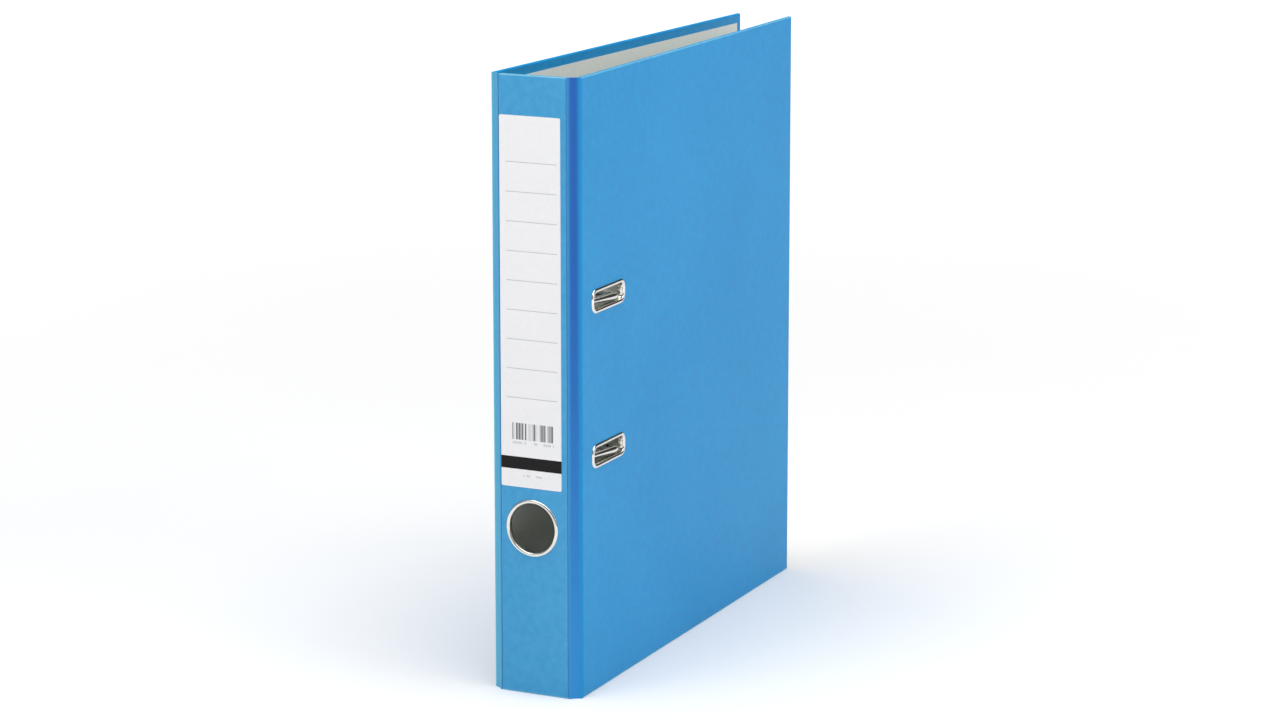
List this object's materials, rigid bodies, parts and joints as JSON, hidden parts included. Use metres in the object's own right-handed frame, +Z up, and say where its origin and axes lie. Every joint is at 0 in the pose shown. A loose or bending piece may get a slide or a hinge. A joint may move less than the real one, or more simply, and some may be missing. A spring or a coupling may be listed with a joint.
{
  "type": "lever arch file",
  "caption": "Narrow cardboard lever arch file standing closed, with a ringed finger hole, slotted front cover, blank ruled spine label and a hinged arch mechanism inside.",
  "frame": {"origin": "centre of the footprint, on the surface the file stands on", "axes": "+Z up the spine, +X towards the front cover that has the slots, +Y from the spine to the fore-edges"},
  "size_m": [0.0514, 0.2882, 0.318],
  "materials": {
    "greyboard": "matte pressed grey paperboard",
    "blue_covering": "satin printed blue paper with a fine mottled grain",
    "inside_paper": "matte light grey lining paper",
    "label_paper": "matte white paper with grey writing rules and one black band",
    "nickel": "bright nickel plate",
    "plated_steel": "pressed and nickel plated sheet steel",
    "spring_steel": "dark satin spring steel",
    "black_plastic": "fine moulded grain",
    "white_plastic": "smooth acetal"
  },
  "bodies": {
    "back_cover": {"back_board": "greyboard", "back_covering": "blue_covering", "back_lining": "inside_paper", "base_plate": "plated_steel", "post_upper": "nickel", "post_lower": "nickel", "lever_axle": "nickel", "arch_spring": "spring_steel", "spring_rivet": "nickel", "base_rivets": "nickel", "rivet_washers": "nickel"},
    "back_joint": {"back_joint_strip": "blue_covering"},
    "spine": {"spine_board": "greyboard", "spine_covering": "blue_covering", "spine_lining": "inside_paper", "spine_label": "label_paper", "finger_ring": "nickel", "finger_ring_backing": "nickel"},
    "front_joint": {"front_joint_strip": "blue_covering"},
    "front_cover": {"front_board": "greyboard", "front_covering": "blue_covering", "front_lining": "inside_paper", "slot_eyelet_upper": "nickel", "slot_eyelet_lower": "nickel", "slot_backing_upper": "nickel", "slot_backing_lower": "nickel"},
    "arches": {"arch_wire": "nickel"},
    "lever": {"lever_arm": "plated_steel", "lever_grip": "black_plastic", "roller_pin": "nickel"},
    "roller": {"cam_roller": "white_plastic"},
    "compressor": {"compressor_bar": "plated_steel"}
  },
  "joints": [
    {"name": "spine_fold", "type": "hinge", "parent": "back_cover", "child": "back_joint", "pos_m": [-0.02435, -0.13895, 0.159], "axis": [0, 0, -1], "range_deg": [0, 53.65]},
    {"name": "spine_fold_second_crease", "type": "hinge", "parent": "back_joint", "child": "spine", "pos_m": [-0.01905, -0.14285, 0.159], "axis": [0, 0, -1], "range_deg": [0, 36.36]},
    {"name": "front_cover_fold", "type": "hinge", "parent": "spine", "child": "front_joint", "pos_m": [0.01995, -0.14285, 0.159], "axis": [0, 0, -1], "range_deg": [0, 36.35]},
    {"name": "front_cover_fold_second_crease", "type": "hinge", "parent": "front_joint", "child": "front_cover", "pos_m": [0.02525, -0.13895, 0.159], "axis": [0, 0, -1], "range_deg": [0, 56.96]},
    {"name": "lever_lift", "type": "hinge", "parent": "back_cover", "child": "lever", "pos_m": [-0.0108, -0.11225, 0.183], "axis": [0, -1, 0], "range_deg": [0, 90.01]},
    {"name": "arch_swing", "type": "hinge", "parent": "back_cover", "child": "arches", "pos_m": [-0.01645, -0.12525, 0.161], "axis": [0, 0, -1], "range_deg": [0, 60.01]},
    {"name": "roller_turn", "type": "hinge", "parent": "lever", "child": "roller", "pos_m": [-0.0108, -0.11225, 0.169], "axis": [0, 1, 0], "continuous": true},
    {"name": "compressor_slide", "type": "slide", "parent": "back_cover", "child": "compressor", "axis": [1, 0, 0], "range_m": [0, 0.018]}
  ],
  "couplings": [
    {"joint": "spine_fold_second_crease", "follows": "spine_fold", "ratio": 0.67746},
    {"joint": "lever_lift", "follows": "spine_fold", "ratio": 1.6775},
    {"joint": "arch_swing", "follows": "spine_fold", "ratio": 1.1183},
    {"joint": "front_cover_fold_second_crease", "follows": "front_cover_fold", "ratio": 1.5669}
  ]
}
